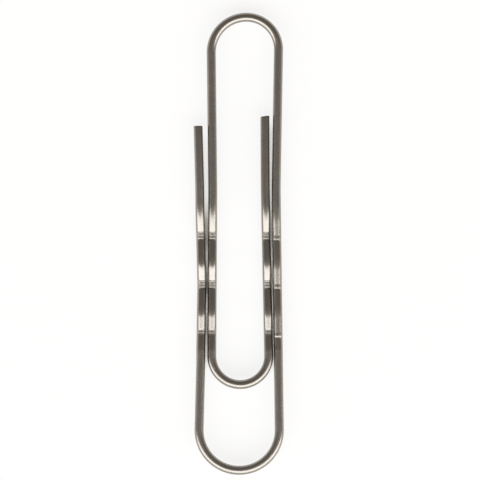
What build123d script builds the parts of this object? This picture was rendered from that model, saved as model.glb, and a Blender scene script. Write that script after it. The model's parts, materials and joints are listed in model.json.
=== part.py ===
from build123d import *
from math import acos, atan, cos, degrees, radians, sin, tan
import os

# A large wavy paper clip: one round steel wire, bent three times into nested loops, with waves
# pressed across all four legs. It lies flat, +X across its width and +Y towards the top bend.
# Lengths are in millimetres and angles in degrees.

# The wire and its two cut ends
wire_diameter = 1.5
end_rounding = 0.25
shear_angle = 8.0
cut_overrun = 1.0

# Lengths along the clip: the mouth between the two lower bends, the straights below and above
# the waves, and the free ends above the waves
mouth_length = 14.13
inner_shank_length = 0.6
upper_leg_length = 23.88
outer_tip_length = 11.53
inner_tip_length = 13.18

# The small bend, how far the inner loop's legs lean together above it, and the gap between legs
# that lie side by side
inner_bend_radius = 4.7
tongue_lean = 0.33
inner_arm_lean = 1.2
nest_gap = 0.08

# The main leg stands a little off the inner arm at the top of its waves, and the outer arm off the
# tongue: at the foot of its waves, more at their top, and less in their middle, where it bows inwards
main_leg_slack = 0.2
outer_arm_slack = 0.22
outer_arm_spread = 0.3
outer_arm_bow = 0.25

# How far the legs spread again beyond their waves, at the bends and at the free ends
outer_bend_splay = 0.33
main_leg_splay = 0.38
tongue_leg_splay = 0.23
outer_tip_splay = 0.3
inner_tip_draw = 0.08

# How far the top bend's highest point sits to the right of the middle between its legs
top_bend_skew = 0.25

# The pressed waves, which dip below the plane of the legs, between a flat lead at their foot and one
# at their waist. The first trough is nearer to the foot and shallower. The wire turns sharply in the
# troughs and at the foot, gently on the crests and more gently at the waist. On the main leg the
# waves are shallower, and its bends larger by a share.
wave_pitch = 8.0
wave_count = 3
foot_lead = 0.5
foot_run = 2.4
waist_lead = 2.9
wave_slope = 17.0
trough_radius = 2.0
crest_radius = 4.5
waist_radius = 12.0
main_leg_slope = 8.0
main_bend_share = 2.0

# The slight knees where a leg leaves its waves
knee_radius = 40.0
knee_run = 1.2

# Waves: depth of the deepest rounded troughs, and lengths along the leg
half_pitch = wave_pitch / 2
trough_depth = half_pitch * tan(radians(wave_slope)) - trough_radius * (1 / cos(radians(wave_slope)) - 1)
waved_length = foot_run + (2 * wave_count - 1) * half_pitch
wave_zone = foot_lead + waved_length + waist_lead

# Places across the clip, from the axis of the inner loop. The waist is the top of the waves.
wire_radius = wire_diameter / 2
pair_pitch = wire_diameter + nest_gap
left_lean = radians(tongue_lean)
right_lean = radians(inner_arm_lean)
waist_rise = inner_shank_length + wave_zone
tongue_waist_x = waist_rise * tan(left_lean) - inner_bend_radius / cos(left_lean)
inner_waist_x = inner_bend_radius / cos(right_lean) - waist_rise * tan(right_lean)
inner_foot_x = inner_waist_x + wave_zone * tan(right_lean)
main_waist_x = inner_waist_x + pair_pitch + main_leg_slack
main_foot_x = inner_foot_x + pair_pitch
main_lean = atan((main_foot_x - main_waist_x) / wave_zone)
outer_waist_x = tongue_waist_x - pair_pitch - outer_arm_slack - outer_arm_spread
outer_tip_x = outer_waist_x - outer_tip_splay
top_left_x = tongue_waist_x - tongue_leg_splay
top_right_x = main_waist_x + main_leg_splay
top_bend_radius = (top_right_x - top_left_x) / 2
top_left_radius = top_bend_radius + top_bend_skew
top_right_radius = top_bend_radius - top_bend_skew
outer_bend_radius = inner_bend_radius + pair_pitch + outer_bend_splay

# The main leg runs straight from its waist into the outer bend, which sets that bend sideways
bends_apart = mouth_length + inner_bend_radius - outer_bend_radius
main_leg_reach = main_foot_x + (bends_apart + inner_shank_length) * tan(main_lean)
outer_bend_x = main_leg_reach - outer_bend_radius / cos(main_lean)

# The inner loop's axis, placed so that the middle of the whole clip is at X zero
axis_x = -(outer_tip_x + outer_bend_x + outer_bend_radius) / 2

# Places along the clip, with its middle at Y zero
overall_length = (
    mouth_length + wire_diameter + inner_bend_radius + waist_rise + upper_leg_length + top_bend_radius
)
outer_bend_y = wire_radius + outer_bend_radius - overall_length / 2
inner_bend_y = outer_bend_y + bends_apart
waist_y = inner_bend_y + waist_rise
top_bend_y = waist_y + upper_leg_length

# Height of the wire's middle when the clip lies on its deepest troughs
wire_z = trough_depth + wire_radius
up = Vector(0, 0, 1)


def place(from_axis, y):
    return Vector(axis_x + from_axis, y, wire_z)


def foot_below(waist, lean):
    # Lower end of a leg's waves, straight down a leg that leans to the right by an angle
    return waist - Vector(wave_zone * tan(lean), wave_zone, 0)


def knee_beyond(end, other_end):
    # Corner of the slight knee just past one end of a leg's waves
    return end + (end - other_end).normalized() * knee_run


def bend_point(centre, radius, angle):
    return centre + Vector(radius * cos(angle), radius * sin(angle), 0)


def touch_point(centre, radius, point, turn):
    # Where a straight run from a point meets a bend, on the side that the turn's sign picks
    reach = point - centre
    angle = turn * degrees(acos(radius / reach.length))
    return centre + reach.rotate(Axis.Z, angle).normalized() * radius


# Middles of the bends, and where the wire crosses the clip there. The top bend's halves differ.
outer_centre = place(outer_bend_x, outer_bend_y)
inner_centre = place(0, inner_bend_y)
outer_apex = bend_point(outer_centre, outer_bend_radius, radians(-90))
inner_apex = bend_point(inner_centre, inner_bend_radius, radians(-90))
top_apex = place((top_left_x + top_right_x) / 2 + top_bend_skew, top_bend_y + top_bend_radius)
top_left_centre = top_apex - Vector(0, top_left_radius, 0)
top_right_centre = top_apex - Vector(0, top_right_radius, 0)

# Both ends of each leg's waves
tongue_waist = place(tongue_waist_x, waist_y)
inner_waist = place(inner_waist_x, waist_y)
main_waist = place(main_waist_x, waist_y)
outer_waist = place(outer_waist_x, waist_y)
tongue_foot = foot_below(tongue_waist, left_lean)
inner_foot = foot_below(inner_waist, -right_lean)
main_foot = foot_below(main_waist, -main_lean)
outer_foot = tongue_foot - Vector(pair_pitch + outer_arm_slack, 0, 0)

# Knees beyond the waves, and where the legs run into the bends
outer_knee = knee_beyond(outer_foot, outer_waist)
main_knee = knee_beyond(main_waist, main_foot)
tongue_knee = knee_beyond(tongue_waist, tongue_foot)
outer_arm_touch = touch_point(outer_centre, outer_bend_radius, outer_knee, 1)
main_lower_touch = bend_point(outer_centre, outer_bend_radius, main_lean)
main_upper_touch = touch_point(top_right_centre, top_right_radius, main_knee, 1)
tongue_upper_touch = touch_point(top_left_centre, top_left_radius, tongue_knee, -1)
tongue_lower_touch = bend_point(inner_centre, inner_bend_radius, radians(180) - left_lean)
inner_arm_touch = bend_point(inner_centre, inner_bend_radius, right_lean)

# Free ends
outer_tip = place(outer_tip_x, waist_y + outer_tip_length)
inner_tip = place(inner_waist_x - inner_tip_draw, waist_y + inner_tip_length)
outer_tip_knee = knee_beyond(outer_waist, outer_foot)
inner_tip_knee = knee_beyond(inner_waist, inner_foot)


def sweep_wire(path):
    with BuildSketch(Plane(origin=path @ 0, z_dir=path % 0)) as section:
        Circle(wire_radius)
    sweep(sections=section.sketch, path=path)


os.makedirs("parts", exist_ok=True)

# Outer and top bends, each in two halves that meet where the wire crosses the clip
for name, apex, touch in (
    ("outer_bend_left", outer_apex, outer_arm_touch),
    ("outer_bend_right", outer_apex, main_lower_touch),
    ("top_bend_left", top_apex, tongue_upper_touch),
    ("top_bend_right", top_apex, main_upper_touch),
):
    with BuildPart() as bend:
        with BuildLine() as path:
            TangentArc(apex, touch, tangent=Vector(touch.X - apex.X, 0, 0))
        sweep_wire(path.wire())
    bend.part.label = name
    export_step(bend.part, f"parts/{name}.step")

# Inner bend, whose halves run on in a short straight as far as the waves
for name, touch, foot in (
    ("inner_bend_left", tongue_lower_touch, tongue_foot),
    ("inner_bend_right", inner_arm_touch, inner_foot),
):
    with BuildPart() as bend:
        with BuildLine() as path:
            TangentArc(inner_apex, touch, tangent=Vector(touch.X - inner_apex.X, 0, 0))
            Line(touch, foot)
        sweep_wire(path.wire())
    bend.part.label = name
    export_step(bend.part, f"parts/{name}.step")

# Pressed waves: an upright zigzag along the leg, rounded at every corner, that starts with a
# trough at the foot. The outer arm's zigzag also bows sideways.
for name, foot, waist, slope, bend_share, bow in (
    ("outer_arm_waves", outer_foot, outer_waist, wave_slope, 1, outer_arm_bow),
    ("main_leg_waves", main_foot, main_waist, main_leg_slope, main_bend_share, 0),
    ("tongue_leg_waves", tongue_foot, tongue_waist, wave_slope, 1, 0),
    ("inner_arm_waves", inner_foot, inner_waist, wave_slope, 1, 0),
):
    leg = (waist - foot).normalized()
    sideways = leg.cross(up)
    start = foot + leg * foot_lead
    trough = trough_radius * bend_share
    crest = crest_radius * bend_share
    corners = [foot, start]
    radii = [trough]
    for half_wave in range(2 * wave_count - 1):
        distance = foot_run + half_pitch * half_wave
        bow_here = bow * (1 - abs(2 * distance / waved_length - 1))
        corner = start + leg * distance + sideways * bow_here
        if half_wave % 2:
            radii.append(crest)
        else:
            run = half_pitch if half_wave else foot_run
            corner -= up * run * tan(radians(slope))
            radii.append(trough)
        corners.append(corner)
    corners += [start + leg * waved_length, waist]
    radii.append(waist_radius * bend_share)
    with BuildPart() as waves:
        with BuildLine() as path:
            FilletPolyline(*corners, radius=radii)
        sweep_wire(path.wire())
    waves.part.label = name
    export_step(waves.part, f"parts/{name}.step")

# Straight runs from a bend to a slight knee at the waves
for name, touch, knee, end in (
    ("outer_arm_shank", outer_arm_touch, outer_knee, outer_foot),
    ("main_leg_upper", main_upper_touch, main_knee, main_waist),
    ("tongue_leg_upper", tongue_upper_touch, tongue_knee, tongue_waist),
):
    with BuildPart() as run:
        with BuildLine() as path:
            FilletPolyline(touch, knee, end, radius=knee_radius)
        sweep_wire(path.wire())
    run.part.label = name
    export_step(run.part, f"parts/{name}.step")

# Lower run of the main leg, in line with its waves
with BuildPart() as main_leg_lower:
    with BuildLine() as path:
        Line(main_lower_touch, main_foot)
    sweep_wire(path.wire())
main_leg_lower.part.label = "main_leg_lower"
export_step(main_leg_lower.part, "parts/main_leg_lower.step")

# Free end of the outer arm, cut square with its edge rounded
with BuildPart() as outer_arm_tip:
    with BuildLine() as path:
        FilletPolyline(outer_waist, outer_tip_knee, outer_tip, radius=knee_radius)
    sweep_wire(path.wire())
    fillet(outer_arm_tip.faces().sort_by(Axis.Y)[-1].edges(), radius=end_rounding)
outer_arm_tip.part.label = "outer_arm_tip"
export_step(outer_arm_tip.part, "parts/outer_arm_tip.step")

# Free end of the inner arm, sheared at a slant
inner_run = (inner_tip - inner_tip_knee).normalized()
sheared_face = Plane(origin=inner_tip, z_dir=inner_run.rotate(Axis.Z, shear_angle))
with BuildPart() as inner_arm_tip:
    with BuildLine() as path:
        FilletPolyline(inner_waist, inner_tip_knee, inner_tip + inner_run * cut_overrun, radius=knee_radius)
    sweep_wire(path.wire())
    split(bisect_by=sheared_face, keep=Keep.BOTTOM)
    fillet(inner_arm_tip.faces().sort_by(Axis.Y)[-1].edges(), radius=end_rounding)
inner_arm_tip.part.label = "inner_arm_tip"
export_step(inner_arm_tip.part, "parts/inner_arm_tip.step")
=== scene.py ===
import bmesh
import bpy
import json
from math import acos, ceil, radians, tan
from mathutils import Matrix, Vector


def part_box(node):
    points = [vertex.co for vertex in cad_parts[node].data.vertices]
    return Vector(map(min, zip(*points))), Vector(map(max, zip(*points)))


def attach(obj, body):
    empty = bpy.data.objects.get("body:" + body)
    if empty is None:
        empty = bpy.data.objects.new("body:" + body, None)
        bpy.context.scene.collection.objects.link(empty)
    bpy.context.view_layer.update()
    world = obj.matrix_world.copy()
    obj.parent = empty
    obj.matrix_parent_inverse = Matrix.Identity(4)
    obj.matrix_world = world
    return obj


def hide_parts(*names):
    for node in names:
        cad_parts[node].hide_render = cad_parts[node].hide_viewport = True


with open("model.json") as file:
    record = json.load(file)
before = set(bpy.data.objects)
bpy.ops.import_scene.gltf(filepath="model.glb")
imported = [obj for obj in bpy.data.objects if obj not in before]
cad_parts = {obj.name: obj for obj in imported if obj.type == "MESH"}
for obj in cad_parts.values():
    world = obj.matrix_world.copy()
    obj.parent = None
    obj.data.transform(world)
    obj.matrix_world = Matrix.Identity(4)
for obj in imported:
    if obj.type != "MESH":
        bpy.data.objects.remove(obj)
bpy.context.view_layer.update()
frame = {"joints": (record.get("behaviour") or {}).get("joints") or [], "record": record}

mm = 0.001
low, high = 0, 1  # the two corners of a box
up = Vector((0, 0, 1))

# The wire as it comes from the bending machine
wire = {
    "diameter": 1.5 * mm,
    "kneeRadius": 40 * mm,  # slight knees where a leg leaves its waves
    "kneeRun": 1.2 * mm,
    "endRounding": 0.25 * mm,
    "endSegments": 5,
    "sides": 56,
    "bendStep": radians(2),  # turn between two rings of the mesh
    "leastRun": 0.001 * mm,  # a straight shorter than this is left out
    "mergeDistance": 0.0001 * mm,
}
wireRadius = wire["diameter"] / 2

# Waves pressed across all four legs, dipping below them: sharp troughs, gentle crests and a gentler
# bend at the waist
waves = {
    "pitch": 8 * mm,
    "count": 3,
    "footLead": 0.5 * mm,
    "footRun": 2.4 * mm,
    "slope": radians(17),
    "troughRadius": 2 * mm,
    "crestRadius": 4.5 * mm,
    "waistRadius": 12 * mm,
    "slopeRings": 32,  # rings of the mesh on each slope
}
halfPitch = waves["pitch"] / 2
wavedLength = waves["footRun"] + (2 * waves["count"] - 1) * halfPitch

# Seats that the teeth of the press leave on the inside of every wave, with fine grooves across them;
# ends and grooves count from the middle of the bend towards the waist, and tilt rises that way
pressTeeth = {
    "wrap": 0.25 * mm,  # height over which a mark fades out down the sides of the wire
    "grooveWidth": 0.2 * mm,
}
fullMark = {
    "depth": 0.05 * mm,
    "ends": (-0.42 * mm, 0.95 * mm),
    "fade": 0.12 * mm,
    "tilt": radians(2),
    "grooveDepth": 0.02 * mm,
    "grooves": (-0.2 * mm, 0.3 * mm),
}
footMark = {  # crisp and short, up the slope of the lowest trough
    "depth": 0,
    "ends": (-0.05 * mm, 0.95 * mm),
    "fade": 0.05 * mm,
    "tilt": radians(0.5),
    "grooveDepth": 0.015 * mm,
    "grooves": (0.25 * mm, 0.6 * mm),
}
lightMark = {  # one deeper groove at the foot of a faint seat
    "depth": 0,
    "ends": (-0.6 * mm, 0.5 * mm),
    "fade": 0.12 * mm,
    "tilt": radians(3.4),
    "grooveDepth": 0.04 * mm,
    "grooves": (-0.4 * mm,),
}

# Places along the wire, read from the frame: hinges sit at the tops of the bends
hinges = {joint["name"]: Vector(joint["pos_m"]) for joint in frame["joints"]}
outerApex = hinges["outer_arm_flex"]
innerApex = hinges["inner_arm_flex"]
topApex = hinges["tongue_lift"]


def spot(node, acrossEnd, alongEnd):
    # middle of the wire at one corner of a node's box, seen from above
    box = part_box(node)
    inset = wireRadius if acrossEnd == low else -wireRadius
    return Vector((box[acrossEnd].x + inset, box[alongEnd].y, outerApex.z))


def bendCentre(apex, side, radius):
    return apex + Vector((0, side * radius, 0))


outerRadius = outerApex.x - spot("outer_bend_left", low, low).x
innerRadius = innerApex.x - spot("inner_bend_left", low, low).x
topLeftRadius = topApex.x - spot("top_bend_left", low, low).x
topRightRadius = spot("top_bend_right", high, low).x - topApex.x
outerCentre = bendCentre(outerApex, 1, outerRadius)
innerCentre = bendCentre(innerApex, 1, innerRadius)
topLeftCentre = bendCentre(topApex, -1, topLeftRadius)
topRightCentre = bendCentre(topApex, -1, topRightRadius)

# Route of a wire: corners to be rounded, each with its radius and the mark that the press leaves there


def kneeBeyond(end, otherEnd):
    # corner of the slight knee just past one end of a leg's waves
    return end + (end - otherEnd).normalized() * wire["kneeRun"]


def bendCorner(apex, centre, beyond, side):
    # where the runs on both sides of half a bend would meet
    fromCentre = apex - centre
    reach = beyond - centre
    angle = side * acos(fromCentre.length / reach.length)
    touch = (Matrix.Rotation(angle, 3, "Z") @ reach).normalized()
    share = 1 + fromCentre.normalized().dot(touch)
    return centre + (fromCentre + touch * fromCentre.length) / share, fromCentre.length, None


def knee(point):
    return point, wire["kneeRadius"], None


def waveCorners(foot, waist, leg):
    # sharp zigzag of one leg, foot to waist, starting with a trough
    run = (waist - foot).normalized()
    sideways = run.cross(up)
    start = foot + run * waves["footLead"]
    trough, crest, last = (
        waves[bend] * leg["bendShare"] for bend in ("troughRadius", "crestRadius", "waistRadius")
    )
    corners = [(start, trough, None)]
    for halfWave in range(2 * waves["count"] - 1):
        along = waves["footRun"] + halfPitch * halfWave
        bowed = leg["bow"] * (1 - abs(2 * along / wavedLength - 1))
        corner = start + run * along + sideways * bowed
        if halfWave % 2:
            corners.append((corner, crest, leg["mark"]))
        elif halfWave:
            corners.append((corner - up * halfPitch * tan(leg["slope"]), trough, leg["mark"]))
        else:
            corners.append((corner - up * waves["footRun"] * tan(leg["slope"]), trough, leg["footMark"]))
    return corners + [(start + run * wavedLength, last, None)]


# Forming: a disc of wire is swept along its route, straight runs and bends in turn


def ringVerts(ring):
    return [part for part in ring if isinstance(part, bmesh.types.BMVert)]


def ramp(value, width):
    # 0 at nothing, 1 past a width
    return min(1, max(0, value / width))


def pressMarks(bm, rings, teeth):
    place = bm.verts.layers.float_vector["wirePlace"]
    pressed = bm.verts.layers.float["pressed"]
    for vert in (vert for verts in rings for vert in verts):
        root, side, mark = min(teeth, key=lambda tooth: abs(tooth[0].y - vert.co.y))
        footEnd, waistEnd = mark["ends"]
        along = vert.co.y - root.y
        height = vert[place].y * mm
        onSeat = ramp(along - footEnd, mark["fade"]) * ramp(waistEnd - along, mark["fade"])
        onSeat *= ramp(height * side, pressTeeth["wrap"])
        depth = mark["depth"]
        for groove in mark["grooves"]:
            depth += mark["grooveDepth"] * max(0, 1 - 2 * abs(along - groove) / pressTeeth["grooveWidth"])
        seat = root.z + height + side * (along * tan(mark["tilt"]) - depth)
        proud = (vert.co.z - seat) * side
        if onSeat > 0 and proud > 0:
            vert.co.z -= side * proud * onSeat
            vert[pressed] = onSeat


def formWire(start, route, end, placeAtStart, sense=1):
    # sense is -1 for a leg formed against the run of the wire from the outer tip to the inner one
    bm = bmesh.new()
    place = bm.verts.layers.float_vector.new("wirePlace")  # mm to the left, up and along the wire
    bm.verts.layers.float.new("pressed")
    heading = (route[0][0] - start).normalized()
    left = up.cross(heading) * sense
    at = Matrix.Translation(start) @ heading.to_track_quat("Z", "Y").to_matrix().to_4x4()
    bmesh.ops.create_circle(bm, cap_ends=True, segments=wire["sides"], radius=wireRadius, matrix=at)
    for vert in bm.verts:
        offset = (vert.co - start) / mm
        vert[place] = offset.dot(left), offset.z, placeAtStart
    firstRim = list(bm.edges)
    ring = list(bm.verts) + list(bm.edges)
    rings, teeth = [], []

    def sweep(count, length, **motion):
        nonlocal ring
        for _ in range(count):
            ring = bmesh.ops.spin(bm, geom=ring, steps=1, **motion)["geom_last"]
            verts = ringVerts(ring)
            for vert in verts:
                vert[place] = vert[place] + Vector((0, 0, sense * length / count / mm))
            rings.append(verts)

    def sweepStraight(run, count):
        if run.length > wire["leastRun"]:
            sweep(count, run.length, cent=(0, 0, 0), axis=up, angle=0, dvec=run / count)

    here, lastMark = start, None
    for index, (corner, radius, mark) in enumerate(route):
        beyond = route[index + 1][0] if index + 1 < len(route) else end
        arriving = (corner - here).normalized()
        leaving = (beyond - corner).normalized()
        turn = arriving.angle(leaving)
        axis = arriving.cross(leaving).normalized()
        arrive = corner - arriving * radius * tan(turn / 2)
        centre = arrive + axis.cross(arriving) * radius
        sweepStraight(arrive - here, waves["slopeRings"] if mark or lastMark else 1)
        if mark:
            inwards = (centre - corner).normalized()
            teeth.append((centre - inwards * radius, 1 if inwards.z > 0 else -1, mark))
        steps = ceil(turn / wire["bendStep"])
        sweep(steps, turn * radius, cent=centre, axis=axis, angle=turn / steps, dvec=(0, 0, 0))
        here, lastMark = corner + leaving * radius * tan(turn / 2), mark
    sweepStraight(end - here, 1)
    pressMarks(bm, rings, teeth)
    for edge in firstRim:
        edge.smooth = False
    return bm, ring, ringVerts(ring)[0][place].z


def closeEnd(bm, ring, rounded):
    edges = [part for part in ring if isinstance(part, bmesh.types.BMEdge)]
    cap = bmesh.ops.edgeloop_fill(bm, edges=edges)["faces"]
    if not rounded:
        for edge in edges:
            edge.smooth = False
        return
    rim = [edge for face in cap for edge in face.edges]
    cut = bmesh.ops.bevel(
        bm, geom=rim, offset=wire["endRounding"], offset_type="OFFSET", segments=wire["endSegments"],
        profile=0.5, affect="EDGES", material=-1, clamp_overlap=True,
    )
    for face in cap + cut["faces"]:
        if face.is_valid:
            face.material_index = 1


def finishWire(name, bm, body, materials):
    bmesh.ops.remove_doubles(bm, verts=bm.verts, dist=wire["mergeDistance"])
    bmesh.ops.recalc_face_normals(bm, faces=bm.faces)
    for face in bm.faces:
        face.smooth = True
    mesh = bpy.data.meshes.new(name)
    bm.to_mesh(mesh)
    bm.free()
    piece = bpy.data.objects.new(name, mesh)
    bpy.context.scene.collection.objects.link(piece)
    for material in materials:
        mesh.materials.append(material)
    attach(piece, body)
    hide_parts(*frame["record"]["behaviour"]["bodies"][body])
    print("formed", name, "with", len(mesh.polygons), "faces")


# Materials


def linear(hexColour):
    channels = [int(hexColour[i:i + 2], 16) / 255 for i in (1, 3, 5)]
    shades = [c / 12.92 if c <= 0.04045 else ((c + 0.055) / 1.055) ** 2.4 for c in channels]
    return (*shades, 1)


def addNode(tree, kind, settings={}, inputs={}):
    node = tree.nodes.new(kind)
    for name, value in settings.items():
        setattr(node, name, value)
    for name, value in inputs.items():
        if isinstance(value, bpy.types.NodeSocket):
            tree.links.new(value, node.inputs[name])
        else:
            node.inputs[name].default_value = value
    return node


def newMaterial(name):
    material = bpy.data.materials.new(name)
    material.use_nodes = True
    material.node_tree.nodes.clear()
    return material, material.node_tree


# Sockets of a Mix node, whose names repeat
mixFactor, mixNumberA, mixNumberB, mixColourA, mixColourB = 0, 2, 3, 6, 7
mixedNumber, mixedColour = 0, 2

# Zinc-plated drawn steel: a dull warm grey mirror, broken by fine lines along the wire from the
# drawing die and by cloudy plating, and scuffed pale where the press bit into it
platedWire = {
    "colour": "#a19d97",
    "cloudColour": "#928e88",
    "pressedColour": "#a8a49e",
    "roughness": (0.2, 0.3),
    "pressedRoughness": 0.32,
    "lineSpacing": 0.12,  # mm; real drawing lines are nearer 0.02 and would not show
    "lineLength": 9.0,
    "lineDepth": 0.003 * mm,
    "lineDetail": 3,
    "lineBreak": 0.6,  # how much the finer lines count
    "lineShades": (0.3, 0.7),  # of the noise, from smooth to rough
    "cloudSize": 1.4,
    "cloudDetail": 4,
}


def makePlatedWire():
    material, tree = newMaterial("zinc_plated_drawn_steel")
    place = addNode(tree, "ShaderNodeAttribute", {"attribute_name": "wirePlace"}).outputs["Vector"]
    pressed = addNode(tree, "ShaderNodeAttribute", {"attribute_name": "pressed"}).outputs["Fac"]
    across, along = 1 / platedWire["lineSpacing"], 1 / platedWire["lineLength"]
    drawn = addNode(tree, "ShaderNodeMapping", inputs={"Vector": place, "Scale": (across, across, along)})
    lines = addNode(
        tree, "ShaderNodeTexNoise",
        inputs={
            "Vector": drawn.outputs[0], "Scale": 1,
            "Detail": platedWire["lineDetail"], "Roughness": platedWire["lineBreak"],
        },
    )
    clouds = addNode(
        tree, "ShaderNodeTexNoise",
        inputs={"Vector": place, "Scale": 1 / platedWire["cloudSize"], "Detail": platedWire["cloudDetail"]},
    )
    clouded = addNode(
        tree, "ShaderNodeMix", {"data_type": "RGBA"},
        {
            mixFactor: clouds.outputs["Fac"],
            mixColourA: linear(platedWire["colour"]),
            mixColourB: linear(platedWire["cloudColour"]),
        },
    )
    colour = addNode(
        tree, "ShaderNodeMix", {"data_type": "RGBA"},
        {
            mixFactor: pressed,
            mixColourA: clouded.outputs[mixedColour],
            mixColourB: linear(platedWire["pressedColour"]),
        },
    )
    smoothShade, roughShade = platedWire["lineShades"]
    smooth, rough = platedWire["roughness"]
    satin = addNode(
        tree, "ShaderNodeMapRange",
        inputs={
            "Value": lines.outputs["Fac"], "From Min": smoothShade, "From Max": roughShade,
            "To Min": smooth, "To Max": rough,
        },
    )
    roughness = addNode(
        tree, "ShaderNodeMix", {"data_type": "FLOAT"},
        {
            mixFactor: pressed,
            mixNumberA: satin.outputs[0],
            mixNumberB: platedWire["pressedRoughness"],
        },
    )
    bump = addNode(
        tree, "ShaderNodeBump",
        inputs={"Height": lines.outputs["Fac"], "Distance": platedWire["lineDepth"], "Strength": 1},
    )
    shader = addNode(
        tree, "ShaderNodeBsdfPrincipled",
        inputs={
            "Base Color": colour.outputs[mixedColour], "Metallic": 1,
            "Roughness": roughness.outputs[mixedNumber], "Normal": bump.outputs[0],
        },
    )
    addNode(tree, "ShaderNodeOutputMaterial", inputs={"Surface": shader.outputs[0]})
    return material


# Bare sheared steel on the two cut ends: darker than the plating and matt, with streaks down the
# face where the shear blade dragged
cutSteel = {
    "colour": "#8d8881",
    "streakColour": "#6f6a63",
    "roughness": 0.48,
    "streakWidth": 0.1 * mm,
    "streakLength": 0.8 * mm,
    "streakDepth": 0.01 * mm,
    "streakDetail": 3,
}


def makeCutSteel():
    material, tree = newMaterial("bare_sheared_steel")
    place = addNode(tree, "ShaderNodeTexCoord").outputs["Object"]
    across, down = 1 / cutSteel["streakWidth"], 1 / cutSteel["streakLength"]
    dragged = addNode(tree, "ShaderNodeMapping", inputs={"Vector": place, "Scale": (across, down, down)})
    streaks = addNode(
        tree, "ShaderNodeTexNoise",
        inputs={"Vector": dragged.outputs[0], "Scale": 1, "Detail": cutSteel["streakDetail"]},
    )
    colour = addNode(
        tree, "ShaderNodeMix", {"data_type": "RGBA"},
        {
            mixFactor: streaks.outputs["Fac"],
            mixColourA: linear(cutSteel["colour"]),
            mixColourB: linear(cutSteel["streakColour"]),
        },
    )
    bump = addNode(
        tree, "ShaderNodeBump",
        inputs={"Height": streaks.outputs["Fac"], "Distance": cutSteel["streakDepth"], "Strength": 1},
    )
    shader = addNode(
        tree, "ShaderNodeBsdfPrincipled",
        inputs={
            "Base Color": colour.outputs[mixedColour], "Metallic": 1,
            "Roughness": cutSteel["roughness"], "Normal": bump.outputs[0],
        },
    )
    addNode(tree, "ShaderNodeOutputMaterial", inputs={"Surface": shader.outputs[0]})
    return material


plating, bareSteel = makePlatedWire(), makeCutSteel()
print("materials made")

# Outer arm: large bend, shank, waves, free end cut square
outerArm = {
    "slope": waves["slope"],
    "bendShare": 1,
    "bow": 0.25 * mm,  # inwards along the waves
    "mark": fullMark,
    "footMark": footMark,
}
outerFoot = spot("outer_arm_shank", high, high)
outerWaist = spot("outer_arm_tip", high, low)
outerTip = spot("outer_arm_tip", low, high)
outerKnee = kneeBeyond(outerFoot, outerWaist)
outerRoute = [bendCorner(outerApex, outerCentre, outerKnee, 1), knee(outerKnee)]
outerRoute += waveCorners(outerFoot, outerWaist, outerArm)
outerRoute += [knee(kneeBeyond(outerWaist, outerFoot))]
bm, ring, _ = formWire(outerApex, outerRoute, outerTip, 0, -1)
closeEnd(bm, ring, True)
finishWire("outer_arm_wire", bm, "outer_arm", (plating, bareSteel))

# Main leg: from the large bend up the right side to the top bend, with shallower waves
mainLeg = {
    "slope": radians(8),
    "bendShare": 2,  # its bends are larger by this
    "bow": 0,
    "mark": lightMark,
    "footMark": lightMark,
}
mainFoot = spot("main_leg_waves", high, low)
mainWaist = spot("main_leg_waves", low, high)
mainKnee = kneeBeyond(mainWaist, mainFoot)
mainRoute = [bendCorner(outerApex, outerCentre, mainFoot, -1)]
mainRoute += waveCorners(mainFoot, mainWaist, mainLeg)
mainRoute += [knee(mainKnee), bendCorner(topApex, topRightCentre, mainKnee, 1)]
bm, ring, placeAtTop = formWire(outerApex, mainRoute, topApex, 0)
closeEnd(bm, ring, False)
finishWire("main_leg_wire", bm, "main_leg", (plating,))

# Tongue: from the top bend down inside the left side to the small bend
tongue = {
    "slope": waves["slope"],
    "bendShare": 1,
    "bow": 0,
    "mark": fullMark,
    "footMark": footMark,
}
tongueFoot = spot("tongue_leg_waves", low, low)
tongueWaist = spot("tongue_leg_upper", high, low)
tongueKnee = kneeBeyond(tongueWaist, tongueFoot)
tongueRoute = [bendCorner(topApex, topLeftCentre, tongueKnee, -1), knee(tongueKnee)]
tongueRoute += reversed(waveCorners(tongueFoot, tongueWaist, tongue))
tongueRoute += [bendCorner(innerApex, innerCentre, tongueFoot, 1)]
bm, ring, placeAtInner = formWire(topApex, tongueRoute, innerApex, placeAtTop)
closeEnd(bm, ring, False)
finishWire("tongue_wire", bm, "tongue", (plating,))

# Inner arm: small bend, waves, free end sheared at a slant
innerArm = {
    "slope": waves["slope"],
    "bendShare": 1,
    "bow": 0,
    "mark": fullMark,
    "footMark": footMark,
    "shear": radians(8),  # slant of the cut
    "cutOverrun": 1 * mm,
}
innerFoot = spot("inner_arm_waves", high, low)
innerWaist = spot("inner_arm_waves", low, high)
innerTip = spot("inner_arm_tip", low, high) - Vector((0, wireRadius * tan(innerArm["shear"]), 0))
innerKnee = kneeBeyond(innerWaist, innerFoot)
innerRun = (innerTip - innerKnee).normalized()
innerRoute = [bendCorner(innerApex, innerCentre, innerFoot, -1)]
innerRoute += waveCorners(innerFoot, innerWaist, innerArm)
innerRoute += [knee(innerKnee)]
overrun = innerRun * innerArm["cutOverrun"]
bm, ring, _ = formWire(innerApex, innerRoute, innerTip + overrun, placeAtInner)
blade = Matrix.Rotation(innerArm["shear"], 3, "Z") @ innerRun
sheared = bmesh.ops.bisect_plane(
    bm, geom=list(bm.verts) + list(bm.edges) + list(bm.faces), dist=wire["mergeDistance"],
    plane_co=innerTip, plane_no=blade, clear_outer=True,
)
closeEnd(bm, sheared["geom_cut"], True)
finishWire("inner_arm_wire", bm, "inner_arm", (plating, bareSteel))

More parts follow.
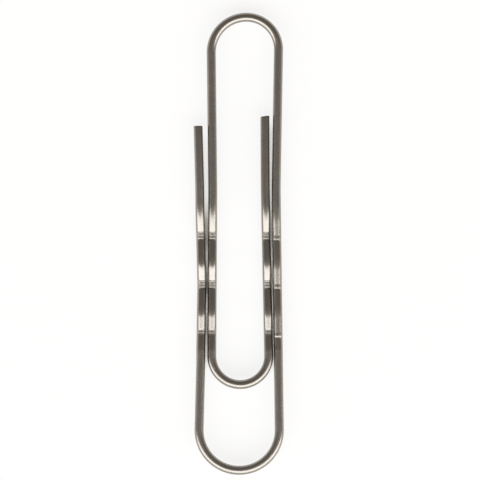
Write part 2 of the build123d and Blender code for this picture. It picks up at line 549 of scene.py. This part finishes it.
# Floor: a plain white sheet that keeps a soft shadow, shows white in the metal too and has painted shade in
# the gaps between legs
floorSheet = {
    "colour": "#f4f4f2",
    "halfWidth": 3.0,
    "glow": 0.8,
    "gapReach": 3 * mm,
    "gapShades": (0.37, 0.45),  # openness of the floor where the glow starts and is whole; below it, painted shade in the gaps
    "gapSamples": 64,
}
bm = bmesh.new()
bmesh.ops.create_grid(bm, x_segments=1, y_segments=1, size=floorSheet["halfWidth"])
floorMesh = bpy.data.meshes.new("floor")
bm.to_mesh(floorMesh)
bm.free()
floor = bpy.data.objects.new("floor", floorMesh)
bpy.context.scene.collection.objects.link(floor)

material, tree = newMaterial("white_card")
rays = addNode(tree, "ShaderNodeLightPath")
seen = addNode(
    tree, "ShaderNodeMath", {"operation": "MAXIMUM"},
    {0: rays.outputs["Is Camera Ray"], 1: rays.outputs["Is Glossy Ray"]},
)
shown = addNode(
    tree, "ShaderNodeMath", {"operation": "MAXIMUM"},
    {0: seen.outputs[0], 1: rays.outputs["Is Transmission Ray"]},
)
# Painted shade: ambient occlusion cuts the glow, so the narrow gaps between legs show darker than the lit
# card
openness = addNode(
    tree, "ShaderNodeAmbientOcclusion", {"samples": floorSheet["gapSamples"]},
    {"Distance": floorSheet["gapReach"]},
)
shut, clear = floorSheet["gapShades"]
gapShadedGlow = addNode(  # painted shade: no glow down in the gaps between legs, so they read dark
    tree, "ShaderNodeMapRange",
    inputs={
        "Value": openness.outputs["AO"], "From Min": shut, "From Max": clear,
        "To Min": 0, "To Max": floorSheet["glow"],
    },
)
glow = addNode(
    tree, "ShaderNodeMath", {"operation": "MULTIPLY"}, {0: shown.outputs[0], 1: gapShadedGlow.outputs[0]}
)
card = addNode(tree, "ShaderNodeBsdfDiffuse", inputs={"Color": linear(floorSheet["colour"])})
white = addNode(tree, "ShaderNodeEmission", inputs={"Strength": 1})
both = addNode(
    tree, "ShaderNodeMixShader", inputs={0: glow.outputs[0], 1: card.outputs[0], 2: white.outputs[0]}
)
addNode(tree, "ShaderNodeOutputMaterial", inputs={"Surface": both.outputs[0]})
floorMesh.materials.append(material)
print("floor laid")

# Light: one long soft strip on the side of the large bend, under a dim ceiling that pales towards it
strip = {
    "tilt": radians(46),
    "distance": 1.6,
    "length": 10.0,
    "width": 1.56,
    "power": 136,
}
lamp = bpy.data.lights.new("strip_softbox", "AREA")
lamp.shape = "RECTANGLE"
lamp.size, lamp.size_y = strip["length"], strip["width"]
lamp.energy = strip["power"]
lampObject = bpy.data.objects.new("strip_softbox", lamp)
lampPlace = Matrix.Translation((0, 0, strip["distance"]))
lampObject.matrix_world = Matrix.Rotation(strip["tilt"], 4, "X") @ lampPlace
bpy.context.scene.collection.objects.link(lampObject)

# Room: how bright its ceiling and walls are, and where one shades into the other
room = {
    "colour": "#fff4e8",
    "lampSide": 0.37,
    "farSide": 0.27,
    "sides": (-0.3, 0.4),
    "wall": 1.0,
    "wallTop": (0.08, 0.22),
}
world = bpy.data.worlds.new("studio")
world.use_nodes = True
tree = world.node_tree
tree.nodes.clear()
direction = addNode(tree, "ShaderNodeTexCoord").outputs["Generated"]
towards = addNode(tree, "ShaderNodeSeparateXYZ", inputs={0: direction})
ceiling = addNode(
    tree, "ShaderNodeMapRange",
    inputs={
        "Value": towards.outputs["Y"], "From Min": room["sides"][0], "From Max": room["sides"][1],
        "To Min": room["lampSide"], "To Max": room["farSide"],
    },
)
shade = addNode(
    tree, "ShaderNodeMapRange",
    inputs={
        "Value": towards.outputs["Z"], "From Min": room["wallTop"][0], "From Max": room["wallTop"][1],
        "To Min": room["wall"], "To Max": ceiling.outputs[0],
    },
)
sky = addNode(
    tree, "ShaderNodeBackground", inputs={"Color": linear(room["colour"]), "Strength": shade.outputs[0]}
)
addNode(tree, "ShaderNodeOutputWorld", inputs={"Surface": sky.outputs[0]})
bpy.context.scene.world = world
bpy.context.scene.view_settings.view_transform = "Standard"
print("light set")

# Camera: straight down, far off, so that the clip is seen flat
lens = {
    "focal": 400,
    "sensor": 36,
    "aim": Vector((0.215, 0.62, 0)) * mm,
    "distance": 878.8 * mm,
}
cameraData = bpy.data.cameras.new("camera")
cameraData.lens, cameraData.sensor_width = lens["focal"], lens["sensor"]
camera = bpy.data.objects.new("camera", cameraData)
camera.location = lens["aim"] + up * (outerApex.z + lens["distance"])
bpy.context.scene.collection.objects.link(camera)
bpy.context.scene.camera = camera
print("camera set")
